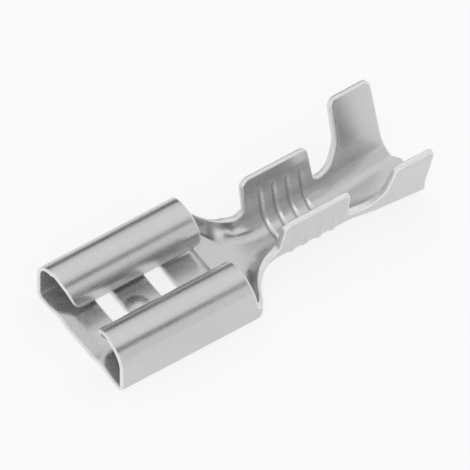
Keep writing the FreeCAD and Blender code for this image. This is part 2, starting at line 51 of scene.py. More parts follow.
# Every size of the folded sheet: name, millimetres, what it is.
LENGTHS = (
    ("sheet_gauge", 0.38, "Thickness of the strip"),
    ("edge_round", 0.09, "Rounding of the sheared edges"),
    ("receptacle_length", 8.2, "Length of the receptacle from its mouth"),
    ("receptacle_width", 7.56, "Width over both side walls"),
    ("receptacle_height", 3.0, "Height over the curled walls"),
    ("wall_bend", 0.42, "Outer radius between floor and wall"),
    ("curl_radius", 1.32, "Outer radius of the curled walls"),
    ("curl_flat", 0.05, "Short straight between the quarter turns of a curl"),
    ("curl_tail_flat", 0.28, "Straight end of a curl"),
    ("free_edge_recess", 0.68, "Set-back of the curls' free edges at the mouth"),
    ("free_edge_corner", 1.3, "Rounding of the curls' front corners"),
    ("curl_rear_slant", 0.28, "Slope of the curls' rear edges"),
    ("curl_rear_corner", 0.5, "Rounding of the curls' rear corners"),
    ("spring_floor_rise", 0.27, "Height of the pressed-up floor"),
    ("spring_floor_crown", 3.3, "Width of the pressed-up floor on top"),
    ("spring_floor_foot", 5.6, "Width of the pressed-up floor at its foot"),
    ("spring_floor_end", 7.82, "Rear end of the pressed-up floor"),
    ("spring_floor_ramp", 0.26, "Length of the floor's rear ramp"),
    ("lip_width", 2.3, "Width of the turned-down lip"),
    ("lip_flare", 0.8, "Run-out of the lip at each side"),
    ("lip_length", 0.66, "Length of the lip"),
    ("lip_edge", 0.24, "Thickness of the lip at its edge"),
    ("window_width", 3.5, "Width of both floor windows"),
    ("window_corner", 0.1, "Corner radius of the floor windows"),
    ("front_window_start", 1.98, "Front edge of the front window"),
    ("front_window_length", 0.95, "Length of the front window"),
    ("rear_window_start", 4.88, "Front edge of the rear window"),
    ("rear_window_length", 0.98, "Length of the rear window"),
    ("detent_centre", 3.5, "Place of the detent bump"),
    ("detent_radius", 0.64, "Radius of the detent bump"),
    ("detent_rise", 0.2, "Height of the detent bump"),
    ("neck_length", 2.7, "Length of the neck"),
    ("neck_wall_height", 1.12, "Height of the neck's walls"),
    ("neck_waist", 0.6, "How much the flared walls narrow the neck's floor at each side"),
    ("neck_round", 0.9, "How much wider the neck's bends are where its walls flare"),
    ("wire_barrel_length", 4.1, "Length of the wire barrel"),
    ("wire_barrel_corner", 2.66, "Width of the wire barrel's floor"),
    ("wire_barrel_bend", 1.3, "Outer bend radius of the wire barrel"),
    ("wire_barrel_lift", 0.07, "Height of the wire barrel's floor"),
    ("wire_wing_height", 3.56, "Height of the wire barrel's wings"),
    ("wire_wing_length", 3.98, "Length of the wire barrel's wings"),
    ("barrel_gap", 1.85, "Gap between the two barrels"),
    ("barrel_gap_height", 1.44, "Height of the wall between the barrels"),
    ("insulation_barrel_length", 2.36, "Length of the insulation barrel"),
    ("insulation_front_corner", 2.88, "Floor width at the front of the insulation barrel"),
    ("insulation_rear_corner", 3.32, "Floor width at the rear of the insulation barrel"),
    ("insulation_front_bend", 1.4, "Bend radius at the front of the insulation barrel"),
    ("insulation_rear_bend", 1.15, "Bend radius at the rear of the insulation barrel"),
    ("insulation_wing_height", 4.96, "Height of the insulation barrel's wings"),
    ("wing_stagger", 0.2, "How far one wire wing sits behind the other"),
    ("insulation_stagger", 0.32, "How far one insulation wing sits behind the other"),
    ("mouth_coining_length", 2.2, "Length over which the mouth's edge is coined thinner"),
    ("mouth_edge_gauge", 0.22, "Thickness of the mouth's edge"),
    ("coining_length", 0.7, "Length over which the wings' tips are coined thinner"),
    ("coined_edge", 0.26, "Thickness of the wings' coined tips"),
    ("tail_width", 1.34, "Width of the cut-off stub"),
    ("tail_length", 0.49, "Length of the cut-off stub"),
    ("rib_first", 11.76, "Place of the first serration"),
    ("rib_pitch", 0.8, "Spacing of the serrations"),
    ("rib_width", 0.44, "Width of a serration's bead outside"),
    ("rib_rise", 0.07, "Height of a serration's bead outside"),
    ("groove_width", 0.32, "Width of a serration's groove inside"),
    ("groove_depth", 0.11, "Depth of a serration's groove inside"),
    ("rib_height", 2.7, "Height at which the serrations run out"),
)
ANGLES = (
    ("curl_tail_angle", 20.0, "Angle of a curl's straight end"),
    ("neck_flare", 27.0, "Outward flare of the neck's walls at its middle"),
    ("wire_barrel_lean", 11.0, "Outward lean of the wire barrel's wings"),
    ("insulation_front_lean", 17.0, "Outward lean at the front of the insulation barrel"),
    ("insulation_rear_lean", 15.0, "Outward lean at the rear of the insulation barrel"),
)
RIBS = 4
RIB_SIZES = {
    "First": "rib_first",
    "Pitch": "rib_pitch",
    "Bead width": "rib_width",
    "Bead rise": "rib_rise",
    "Groove width": "groove_width",
    "Groove depth": "groove_depth",
    "Height": "rib_height",
    "Gauge": "sheet_gauge",
}

# How the neck changes, with places as shares of its length.
NECK_TURN = 0.41  # where about half of the narrowing is done
NECK_SHARPNESS = 2.8  # how suddenly it narrows there
BEND_FADE = 5.0  # how soon the tight bend opens into the barrel's
BEND_DELAY = 0.05  # how far it stays tight
LEVEL_SHARE = 0.22  # where the wall's edge begins to rise
FLARE_END = 0.7  # where the walls stop flaring
WAIST_POWER = 3  # how closely the flare keeps to its middle
STRETCH_POWER = 0.25  # how much the walls' slant thickens their section
FACING_POWER = -1.4  # the same for the mesh's own points
WING_START = 0.9  # where the wings' coining may begin

# Softness of the ramps on the pressed floor and the lip, as a share of each.
LIP_EDGE_SOFTNESS = 0.3
LIP_SIDE_SOFTNESS = 0.45
FLOOR_SIDE_SOFTNESS = 0.16
FLOOR_END_SOFTNESS = 0.3

# Millimetres: the foot of the wings' rear edge, how far the curls' rear edge ends above the
# neck's wall, the run-out of the serrations and the mesh's steps.
HEEL_HEIGHT = 1.8
REAR_EDGE_FOOT = 0.4
RIB_FADE = 0.35
GRID = 0.125
FINE_GRID = 0.04
OUTLINE_STEP = 0.085
BEND_LINES = 9
RIM_STEPS = 3
CORNER_STEP = 0.26  # radians between the points of a rounded corner, at most
FLAT_SHARE = 1e-4  # twice a triangle's area by its longest side squared: flatter ones go

# Painted highlight and painted shade in the serrations' grooves: place and width as shares of the
# groove's width.
GROOVE_LIGHT_PLACE = 0.3
GROOVE_LIGHT_WIDTH = 0.22
GROOVE_SHADING = 0.5

# Plating: shares of its grain and clouds in tone and roughness, and the bumps in millimetres.
METALLIC = 0.85
TONE_GRAIN, TONE_CLOUDS, TONE_DROP = 0.5, 0.9, 0.2
ROUGH_GRAIN, ROUGH_CLOUDS, ROUGH_DROP = 0.06, 0.14, 0.09
EDGE_ROUGHER = 0.2
SPECK_SHARE = 0.5
BUMP_DEPTH = 0.004

# Studio: strength of the room's light, how white the floor shows, and in metres how far it
# reaches and how far it lies under the object.
ROOM_LIGHT = 0.82
FLOOR_WHITE = 0.8
FLOOR_REACH = 0.6
FLOOR_DROP = 0.00002
# Cards: name, centre, length and width in metres, shade of grey.
CARDS = (
    ("far_card", (0.03, 0.115, 0.014), 0.16, 0.08, 0.03),
    ("gap_card", (-0.001, -0.0335, 0.0452), 0.041, 0.018, 0.0),
)
# Lamps: name, direction, distance and size in metres, watts.
SOFTBOXES = (
    ("front_box", (-0.45, -0.68, 0.58), 0.3, (0.36, 0.26), 0.10),
    ("top_box", (0.35, 0.2, 0.9), 0.35, (0.35, 0.25), 0.04),
)
# The picture's width and scale at the object, and the camera's distance and clipping in metres.
PICTURE_PIXELS = 470
PIXELS_PER_MM = 20.2
CAMERA_DISTANCE = 0.3
CLIP_START, CLIP_END = 0.01, 2.0


def label(name):
    return name.replace("_", " ").capitalize()


def length_property(name, millimetres, text):
    return bpy.props.FloatProperty(
        name=label(name), description=text, default=millimetres * MM, unit="LENGTH", precision=5
    )


def angle_property(name, degrees, text):
    return bpy.props.FloatProperty(
        name=label(name), description=text, default=math.radians(degrees), unit="ROTATION"
    )


def colour_property(name, colour, text):
    return bpy.props.FloatVectorProperty(
        name=name, description=text, default=colour, size=3, min=0.0, max=1.0, subtype="COLOR"
    )


class SheetSizes(bpy.types.PropertyGroup):
    """Sizes of the stamped and folded strip."""

    __annotations__ = {
        **{name: length_property(name, value, text) for name, value, text in LENGTHS},
        **{name: angle_property(name, value, text) for name, value, text in ANGLES},
    }


class SheetFinish(bpy.types.PropertyGroup):
    """Colours and gloss of the plating, and colours of the painted highlight and painted shade in the
    grooves.
    """

    plating: colour_property("Plating", (0.66, 0.665, 0.67), "Colour of the tin plate")
    dull: colour_property("Dull plating", (0.59, 0.595, 0.60), "Colour where the plate is duller")
    sheared: colour_property("Sheared edge", (0.86, 0.863, 0.867), "Colour of the sheared edges")
    # The grooves' flanks: a painted highlight on the rear one, painted shade on the front one.
    burnished: colour_property("Burnished", (0.92, 0.92, 0.92), "Bright flank of a groove")
    shaded: colour_property("Shaded", (0.2, 0.2, 0.2), "Dark flank of a groove")
    roughness: bpy.props.FloatProperty(
        name="Roughness", description="Mean roughness of the plate", default=0.27, min=0.0, max=1.0
    )


class StudioSettings(bpy.types.PropertyGroup):
    """Floor colour and the picture's width at the object."""

    floor: colour_property("Floor", (0.9, 0.9, 0.9), "Colour of the studio floor")
    view_width: length_property(
        "view_width", PICTURE_PIXELS / PIXELS_PER_MM, "Width of the picture at the object"
    )


class Sheet:
    """The sizes in millimetres and radians, and where the parts of the strip begin."""

    def __init__(self, settings):
        for name, _, _ in LENGTHS:
            setattr(self, name, getattr(settings, name) / MM)
        for name, _, _ in ANGLES:
            setattr(self, name, getattr(settings, name))
        self.half_gauge = self.sheet_gauge / 2
        self.neck_end = self.receptacle_length + self.neck_length
        self.wire_end = self.neck_end + self.wire_barrel_length
        self.insulation_start = self.wire_end + self.barrel_gap
        self.tail_start = self.insulation_start + self.insulation_barrel_length
        self.tail_end = self.tail_start + self.tail_length


def blend(start, end, share):
    return start + (end - start) * share


def ramp(t, soft):
    """Rises from 0 to 1 as t does, with soft starts and ends of that half-width."""

    def bent(x):
        return np.where(x < -soft, 0.0, np.where(x > soft, x, (x + soft) ** 2 / (4 * soft)))

    return bent(t) - bent(t - 1)


def eased(start, end, end_slope, share):
    """A cubic from start, leaving level, to end, arriving with a slope."""
    s2 = share**2
    s3 = share**3
    return start + (end - start) * (3 * s2 - 2 * s3) + end_slope * (s3 - s2)


def trough_sizes(sheet, along):
    """Half-width, bend, lean, lift and wall stretch of the U at places behind the receptacle."""
    share = np.clip((along - sheet.receptacle_length) / sheet.neck_length, 0.0, 1.0)
    turn = NECK_TURN**NECK_SHARPNESS
    powered = share**NECK_SHARPNESS
    spread = (sheet.receptacle_width - sheet.wire_barrel_corner) / 2
    narrowed = spread * turn * (1 - powered) / (turn + powered)
    flare = np.minimum(share / FLARE_END, 1.0)
    swell = 4 * flare * (1 - flare)
    waist = swell**WAIST_POWER
    corner = sheet.wire_barrel_corner / 2 + narrowed - sheet.neck_waist * waist
    delayed = share**2 / (share + BEND_DELAY)
    bend = blend(sheet.wire_barrel_bend, sheet.wall_bend, (1 - delayed) ** BEND_FADE)
    bend = bend + sheet.neck_round * waist
    lean = sheet.wire_barrel_lean * share + sheet.neck_flare * waist
    lift = sheet.wire_barrel_lift * share
    steep = NECK_SHARPNESS * share ** (NECK_SHARPNESS - 1) * turn * (turn + 1) / (turn + powered) ** 2
    waist_slope = WAIST_POWER * swell ** (WAIST_POWER - 1) * 4 * (1 - 2 * flare) / FLARE_END
    steep = steep * spread + sheet.neck_waist * waist_slope
    stretch = (1 + (steep / sheet.neck_length) ** 2) ** STRETCH_POWER
    front = (sheet.insulation_front_bend, sheet.insulation_front_lean, 0.0)
    front = (sheet.insulation_front_corner / 2, *front)
    rear = (sheet.insulation_rear_bend, sheet.insulation_rear_lean, 0.0)
    rear = (sheet.insulation_rear_corner / 2, *rear)
    between = np.clip((along - sheet.wire_end) / sheet.barrel_gap, 0.0, 1.0)
    widening = (along - sheet.insulation_start) / (sheet.tail_end - sheet.insulation_start)
    sizes = []
    for neck, start, end in zip((corner, bend, lean, lift), front, rear):
        slope = (end - start) * sheet.barrel_gap / (sheet.tail_end - sheet.insulation_start)
        barrel = eased(neck, start, slope, between)
        sizes.append(np.where(widening > 0, blend(start, end, widening), barrel))
    return (*sizes, np.where(along < sheet.neck_end, stretch, 1.0))


def trough_breaks(sheet, along):
    """Flat half-width, bend radius, turn, lift and lean of the sheet's middle layer."""
    corner, bend, lean, lift, stretch = trough_sizes(sheet, along)
    middle = corner + sheet.half_gauge * np.tan(lean) - sheet.half_gauge * stretch / np.cos(lean)
    radius = bend - sheet.half_gauge
    turn = math.pi / 2 - lean
    flat = middle - radius * np.tan(turn / 2)
    return flat, radius, turn, lift + sheet.half_gauge, lean


def curl_marks(sheet):
    """Distances across the flat strip at which a curl's straights and arcs begin."""
    radius = sheet.curl_radius - sheet.half_gauge
    flat, bend, turn, _, _ = (float(x) for x in trough_breaks(sheet, np.array(0.0)))
    wall_end = sheet.receptacle_height - sheet.curl_radius
    marks = [flat + bend * turn]
    for step in (
        wall_end - sheet.wall_bend,
        radius * math.pi / 2,
        sheet.curl_flat,
        radius * math.pi / 2,
        sheet.curl_flat,
        radius * sheet.curl_tail_angle,
        sheet.curl_tail_flat,
    ):
        marks.append(marks[-1] + step)
    return marks


def folded_section(sheet, along, across):
    """Sideways place and height of the middle layer, for points across one half of the strip."""
    flat, radius, turn, lift, lean = trough_breaks(sheet, along)
    angle = np.clip((across - flat) / radius, 0.0, turn)
    straight = np.maximum(across - flat - radius * turn, 0.0)
    side = np.minimum(across, flat) + radius * np.sin(angle) + straight * np.sin(lean)
    up = lift + radius * (1 - np.cos(angle)) + straight * np.cos(lean)
    marks = curl_marks(sheet)
    curl = sheet.curl_radius - sheet.half_gauge
    top = sheet.receptacle_height - sheet.curl_radius
    outer = sheet.receptacle_width / 2 - sheet.curl_radius
    first = np.clip((across - marks[1]) / curl, 0.0, math.pi / 2)
    level = np.clip(across - marks[2], 0.0, sheet.curl_flat)
    second = np.clip((across - marks[3]) / curl, 0.0, math.pi / 2)
    drop = np.clip(across - marks[4], 0.0, sheet.curl_flat)
    third = np.clip((across - marks[5]) / curl, 0.0, sheet.curl_tail_angle)
    tail = np.maximum(across - marks[6], 0.0)
    curl_side = outer + curl * np.cos(first) - level - curl * np.sin(second)
    curl_side = curl_side + curl * (1 - np.cos(third)) + tail * math.sin(sheet.curl_tail_angle)
    curl_up = top + curl * np.sin(first) - curl * (1 - np.cos(second)) - drop
    curl_up = curl_up - curl * np.sin(third) - tail * math.cos(sheet.curl_tail_angle)
    curled = (along < sheet.receptacle_length + sheet.edge_round) & (across > marks[1])
    return np.where(curled, curl_side, side), np.where(curled, curl_up, up)


def lip_share(sheet, along, side):
    """1 on the middle of the lip's edge, 0 where the floor is at its full height."""
    fade = np.clip(1 - along / sheet.lip_length, 0.0, 1.1)
    flare = sheet.lip_flare * fade + sheet.half_gauge / 4
    beside = (side - sheet.lip_width / 2) / flare
    return ramp(fade, LIP_EDGE_SOFTNESS) * (1 - ramp(beside, LIP_SIDE_SOFTNESS))


def floor_lift(sheet, along, side):
    """Height that pressing adds to the floor."""
    foot = sheet.spring_floor_foot / 2
    crown = sheet.spring_floor_crown / 2
    wide = ramp((foot - side) / (foot - crown), FLOOR_SIDE_SOFTNESS)
    long = ramp((sheet.spring_floor_end - along) / sheet.spring_floor_ramp, FLOOR_END_SOFTNESS)
    lift = sheet.spring_floor_rise * wide * long * (1 - lip_share(sheet, along, side))
    reach = np.hypot(along - sheet.detent_centre, side) / sheet.detent_radius
    return lift + sheet.detent_rise * np.maximum(1 - reach**2, 0.0) ** 1.5


def middle_layer(sheet, along, across):
    """Places of the folded middle layer, in millimetres from the mouth."""
    half = np.abs(across)
    side, up = folded_section(sheet, along, half)
    floor = half < sheet.spring_floor_foot / 2 + sheet.sheet_gauge
    floor = floor & (along < sheet.receptacle_length)
    up = up + np.where(floor, floor_lift(sheet, along, side), 0.0)
    return np.stack([along, side * np.sign(across), up], axis=-1)


def mouth_share(sheet, along, across):
    """1 on the front edge of the mouth, 0 where the sheet has its full thickness."""
    line = mouth_edge(sheet)
    front = np.interp(np.abs(across), line[:, 1], np.maximum.accumulate(line[:, 0]))
    return np.clip(1 - (along - front) / sheet.mouth_coining_length, 0.0, 1.0)


def coined(sheet, along, up):
    """Thickness share of the sheet, less towards the coined tips of the wings."""
    wire = along < sheet.wire_end + sheet.barrel_gap / 2
    tip = np.where(wire, sheet.wire_wing_height, sheet.insulation_wing_height)
    past_neck = along - sheet.receptacle_length - sheet.neck_length * WING_START
    wing = np.clip(past_neck / (sheet.neck_length * (1 - WING_START)), 0.0, 1.0)
    near_tip = np.clip((up - tip) / sheet.coining_length + 1, 0.0, 1.0)
    return 1 - (1 - sheet.coined_edge / sheet.sheet_gauge) * near_tip * wing


def folded(sheet, along, across, height):
    """Maps the flat strip to its folded shape. Height counts from the middle layer upwards."""
    step = 0.004
    here = middle_layer(sheet, along, across)
    run = middle_layer(sheet, along + step, across) - middle_layer(sheet, along - step, across)
    rise = middle_layer(sheet, along, across + step) - middle_layer(sheet, along, across - step)
    normal = np.cross(run, rise)
    normal /= np.linalg.norm(normal, axis=-1, keepdims=True)
    thin = (sheet.sheet_gauge - sheet.lip_edge) * lip_share(sheet, along, np.abs(here[:, 1]))
    thin = np.where(np.abs(across) < sheet.lip_width, thin, 0.0)
    front_thin = (sheet.sheet_gauge - sheet.mouth_edge_gauge) * mouth_share(sheet, along, across)
    thin = np.maximum(thin, front_thin)
    level = (height + sheet.half_gauge) * (1 - thin / sheet.sheet_gauge) - sheet.half_gauge
    level = level * coined(sheet, along, here[:, 2])
    # In the neck the thickness stays inside each cross-section, so that tight bends don't cross.
    neck = np.clip((sheet.neck_end - along) / (sheet.neck_length * (1 - FLARE_END)), 0.0, 1.0)
    neck = neck * (along > sheet.receptacle_length)
    facing = np.hypot(normal[:, 1], normal[:, 2])
    lengthways = np.clip(along / sheet.lip_length, 0.0, 1.0) * (1 - neck)
    crossways = 1 + neck * (facing**FACING_POWER - 1)
    upright = normal * np.stack([lengthways, crossways, crossways], axis=-1)
    return here + upright * level[:, None], normal


def rounded(corners):
    """A dense line through corners of (a, b) or (a, b, radius), sharp at both ends."""
    points = [np.array(corners[0][:2])]
    for index in range(1, len(corners) - 1):
        corner = np.array(corners[index][:2])
        before = corner - np.array(corners[index - 1][:2])
        after = np.array(corners[index + 1][:2]) - corner
        before /= np.linalg.norm(before)
        after /= np.linalg.norm(after)
        turn = math.atan2(before[0] * after[1] - before[1] * after[0], float(before @ after))
        radius = corners[index][2] if len(corners[index]) == 3 else 0.0
        if radius == 0.0:
            points.append(corner)
            continue
        start = corner - before * radius * math.tan(abs(turn) / 2)
        side = math.copysign(1.0, turn)
        centre = start + np.array([-before[1], before[0]]) * side * radius
        by_length = math.ceil(abs(turn) * radius / OUTLINE_STEP * 1.5)
        count = max(3, by_length, math.ceil(abs(turn) / CORNER_STEP))
        for step in np.linspace(0.0, turn, count + 1):
            spoke = start - centre
            turned = (
                spoke[0] * math.cos(step) - spoke[1] * math.sin(step),
                spoke[0] * math.sin(step) + spoke[1] * math.cos(step),
            )
            points.append(centre + np.array(turned))
    points.append(np.array(corners[-1][:2]))
    return spaced(points)


def spaced(points):
    """The same line with no step longer than the outline's own."""
    line = [points[0]]
    for point in points[1:]:
        gap = np.linalg.norm(point - line[-1])
        if gap < OUTLINE_STEP * 0.2:
            continue
        count = math.ceil(gap / OUTLINE_STEP)
        start = line[-1]
        line += [blend(start, point, share) for share in np.linspace(0, 1, count + 1)[1:]]
    return np.array(line)


def wall_place(sheet, line):
    """Turns (along, height) on the trough's wall into (along, across) on the flat strip."""
    along, up = line[:, 0], line[:, 1]
    flat, radius, turn, lift, lean = trough_breaks(sheet, along)
    up = up - sheet.half_gauge * np.sin(lean)
    wall_start = lift + radius * (1 - np.cos(turn))
    bent = np.arccos(np.clip(1 - (up - lift) / radius, -1.0, 1.0))
    on_wall = flat + radius * turn + (up - wall_start) / np.cos(lean)
    across = np.where(up > wall_start, on_wall, flat + radius * bent)
    return np.stack([along, across], axis=-1)


def curl_table(sheet, start, end):
    """Places across the strip and their heights along one flank of a curl."""
    across = np.linspace(start, end, 400)
    _, up = folded_section(sheet, np.zeros_like(across), across)
    return across, up


def curl_rear(sheet, up):
    """Place along the terminal of the curls' slanted rear edge at a height."""
    wall = sheet.neck_wall_height
    share = (up - wall) / (sheet.receptacle_height - wall)
    return sheet.receptacle_length - sheet.curl_rear_slant * share


def rear_flank(sheet, table, start, end, count):
    """Points of a curl's slanted rear edge from one place across the strip to another."""
    across = np.linspace(start, end, count)[1:]
    return np.stack([curl_rear(sheet, np.interp(across, *table)), across], axis=-1)


def mouth_edge(sheet):
    """Outline from the middle of the mouth to the front corner of a free edge."""
    marks = curl_marks(sheet)
    crown = blend(marks[2], marks[3], 0.5)
    across, up = curl_table(sheet, crown, marks[-1])
    slope = sheet.free_edge_recess / (sheet.receptacle_height - up[-1])
    corners = [
        (slope * (sheet.receptacle_height - up[0]), up[0]),
        (sheet.free_edge_recess, up[-1] - 0.03, sheet.free_edge_corner),
        (sheet.free_edge_recess + sheet.free_edge_corner * 1.25, up[-1] - 0.09),
    ]
    line = rounded(corners)
    line = line[line[:, 1] > up[-1]]
    flank = np.stack([line[:, 0], np.interp(-line[:, 1], -up, across)], axis=-1)
    straight = spaced([np.array([0.0, 0.0]), np.array([0.0, crown])])
    return np.concatenate([straight[:-1], flank])


def free_edge(sheet):
    """Outline along a free edge and up over the curl's rear edge to the neck."""
    marks = curl_marks(sheet)
    crown = blend(marks[2], marks[3], 0.5)
    inner = curl_table(sheet, crown, marks[-1])
    outer = curl_table(sheet, marks[0], crown)
    shoulder = sheet.receptacle_height * 0.75
    back = curl_rear(sheet, shoulder)
    shoulder_across = float(np.interp(-shoulder, -inner[1], inner[0]))
    wall_across = float(np.interp(sheet.neck_wall_height + REAR_EDGE_FOOT, outer[1], outer[0]))
    lower = rounded(
        [
            (blend(sheet.free_edge_recess, back, 0.5), marks[-1]),
            (back, marks[-1], sheet.curl_rear_corner),
            (back, shoulder_across),
        ]
    )
    over = rear_flank(sheet, inner, shoulder_across, crown, 14)
    down = rear_flank(sheet, outer, crown, wall_across, 34)
    return np.concatenate([lower, over, down])


def wing_edge(sheet, side):
    """Outline over the neck's wall and both wings of one side, down to the rear edge's foot.

    The corners are places along the terminal, heights and, but for the ends, roundings.
    """
    shift = sheet.wing_stagger * side
    tall_shift = sheet.insulation_stagger * side
    wall = sheet.neck_wall_height
    front = sheet.neck_end - 0.02 + shift
    rear = front + sheet.wire_wing_length
    top = sheet.wire_wing_height
    gap = sheet.barrel_gap_height
    tall_front = sheet.insulation_start - 0.04 + tall_shift
    tall_rear = sheet.tail_start + shift
    tall = sheet.insulation_wing_height
    line = rounded(
        [
            (curl_rear(sheet, wall + REAR_EDGE_FOOT), wall + REAR_EDGE_FOOT),
            (sheet.receptacle_length, wall, 0.1),
            (sheet.receptacle_length + sheet.neck_length * LEVEL_SHARE, wall, 1.0),
            (sheet.receptacle_length + sheet.neck_length * 0.5, wall + 0.1, 1.0),
            (front - 0.5, wall + 0.24, 0.6),
            (front - 0.08, wall + 0.56, 0.35),
            (front, top - 0.26, 0.3),
            (front + 0.36, top, 0.38),
            (rear - 0.04, top, 0.3),
            (rear + 0.08, gap, 0.3),
            (tall_front - 0.9, gap, 1.0),
            (tall_front - 0.14, gap + 1.1, 1.6),
            (tall_front, tall - 0.26, 0.28),
            (tall_front + 0.26, tall, 0.28),
            (tall_rear, tall, 0.4),
            (tall_rear + 0.03, HEEL_HEIGHT),
        ]
    )
    return wall_place(sheet, line[1:])


def tail_edge(sheet, start, side):
    """Outline from the foot of the rear edge round the cut-off stub to the middle."""
    shift = sheet.wing_stagger * side
    half = sheet.tail_width / 2
    line = rounded(
        [
            tuple(start),
            (sheet.tail_start + 0.05 + shift, start[1] - 0.4, 0.8),
            (sheet.tail_start + 0.25 + shift, half + 0.44, 0.3),
            (sheet.tail_end, half, 0.1),
            (sheet.tail_end, 0.0),
        ]
    )
    return line[1:]


def side_outline(sheet, side):
    """Half of the strip's outline, from the middle of the mouth to the middle of the tail."""
    wings = wing_edge(sheet, side)
    parts = [mouth_edge(sheet), free_edge(sheet), wings, tail_edge(sheet, wings[-1], side)]
    return spaced(list(np.concatenate(parts)))


def strip_outline(sheet):
    """The whole outline of the flat strip, counterclockwise."""
    right = side_outline(sheet, 0.5)
    left = side_outline(sheet, -0.5)
    right = right * np.array([1.0, -1.0])
    return np.concatenate([right, left[::-1][1:-1]])


def window_outline(sheet, start, length):
    """One window in the floor, clockwise."""
    half = sheet.window_width / 2
    end = start + length
    middle = blend(start, end, 0.5)
    corner = sheet.window_corner
    line = rounded(
        [
            (middle, half),
            (end, half, corner),
            (end, -half, corner),
            (start, -half, corner),
            (start, half, corner),
            (middle, half),
        ]
    )
    return line[:-1]


def outward(loop):
    """Unit directions that point out of the sheet at each point of a loop."""
    along = np.roll(loop, -1, axis=0) - np.roll(loop, 1, axis=0)
    along /= np.linalg.norm(along, axis=1, keepdims=True)
    return np.stack([along[:, 1], -along[:, 0]], axis=-1)


def inside(loop, points):
    """Whether each point lies inside a closed loop."""
    x, y = points[:, 0:1], points[:, 1:2]
    x0, y0 = loop[:, 0], loop[:, 1]
    x1, y1 = np.roll(x0, -1), np.roll(y0, -1)
    crosses = (y0 > y) != (y1 > y)
    run = np.where(y1 == y0, 1.0, y1 - y0)
    return ((crosses & (x < (x1 - x0) * (y - y0) / run + x0)).sum(axis=1) % 2).astype(bool)


def grid_lines(sheet):
    """Places along the strip of the mesh's cross lines, closer over the neck and the serrations."""
    neck = sheet.receptacle_length
    neck_end = neck + sheet.neck_length * FLARE_END
    first = sheet.rib_first - sheet.rib_width
    last = sheet.rib_first + sheet.rib_pitch * (RIBS - 1) + sheet.rib_width
    return np.concatenate(
        [
            np.arange(GRID / 2, neck - GRID / 2, GRID),
            np.arange(neck + GRID / 2, neck_end, FINE_GRID),
            np.arange(neck_end + GRID / 2, first - GRID / 2, GRID),
            np.arange(first, last, FINE_GRID),
            np.arange(last, sheet.tail_end, GRID),
        ]
    )


def grid_points(sheet):
    """Points of the mesh inside the flat strip, lined up with its bends."""
    points = []
    marks = curl_marks(sheet)
    for along in grid_lines(sheet):
        flat, radius, turn, _, _ = (float(x) for x in trough_breaks(sheet, np.array(along)))
        bend_end = flat + radius * turn
        floor = np.linspace(0.0, flat, max(2, math.ceil(flat / GRID)) + 1)
        bend = np.linspace(flat, bend_end, BEND_LINES + 1)[1:]
        wall = np.arange(bend_end + GRID, marks[-1], GRID)
        across = np.concatenate([floor, bend, wall])
        across = np.concatenate([-across[:0:-1], across])
        points.append(np.stack([np.full_like(across, along), across], axis=-1))
    return np.concatenate(points)


def clear_of(points, loops, distance):
    """Whether each point is at least a distance from every point of the loops."""
    rim = np.concatenate(loops)
    tree = kdtree.KDTree(len(rim))
    for index, point in enumerate(rim):
        tree.insert((point[0], point[1], 0.0), index)
    tree.balance()
    return np.array([tree.find((p[0], p[1], 0.0))[2] > distance for p in points])


def flat_triangles(loops, points):
    """Triangles between the loops, the first round the sheet and the others round its windows."""
    places = [Vector(p) for p in np.concatenate([*loops, points])]
    edges = []
    start = 0
    for loop in loops:
        count = len(loop)
        edges += [(start + i, start + (i + 1) % count) for i in range(count)]
        start += count
    found = geometry.delaunay_2d_cdt(places, edges, [], 0, 1e-6, True)
    if len(found[0]) != len(places):
        raise RuntimeError("the strip's outline crosses itself or repeats a point")
    order = np.array([origin[0] for origin in found[3]])
    triangles = order[np.array(found[2])]
    flat = np.array([(p.x, p.y) for p in places])
    middle = flat[triangles].mean(axis=1)
    keep = inside(loops[0], middle)
    for hole in loops[1:]:
        keep &= ~inside(hole, middle)
    triangles = triangles[keep]
    a, b, c = (flat[triangles[:, i]] for i in range(3))
    area = (b[:, 0] - a[:, 0]) * (c[:, 1] - a[:, 1]) - (b[:, 1] - a[:, 1]) * (c[:, 0] - a[:, 0])
    triangles[area < 0] = triangles[area < 0][:, ::-1]
    longest = np.maximum.reduce([((q - p) ** 2).sum(axis=1) for p, q in ((a, b), (b, c), (c, a))])
    on_rim = (triangles < len(loops[0])).all(axis=1)
    triangles = triangles[~(on_rim & (np.abs(area) < FLAT_SHARE * longest))]
    return flat, triangles


def rim_profile(sheet):
    """Offset outwards and height of each line round the sheared edge, from the upper face down."""
    turns = np.linspace(0, math.pi / 2, RIM_STEPS + 1)[1:]
    upper = [(sheet.edge_round * (math.sin(t) - 1), math.cos(t)) for t in turns]
    rise = sheet.half_gauge - sheet.edge_round
    rows = [(out, rise + sheet.edge_round * up) for out, up in upper]
    return rows + [(out, -height) for out, height in reversed(rows)]


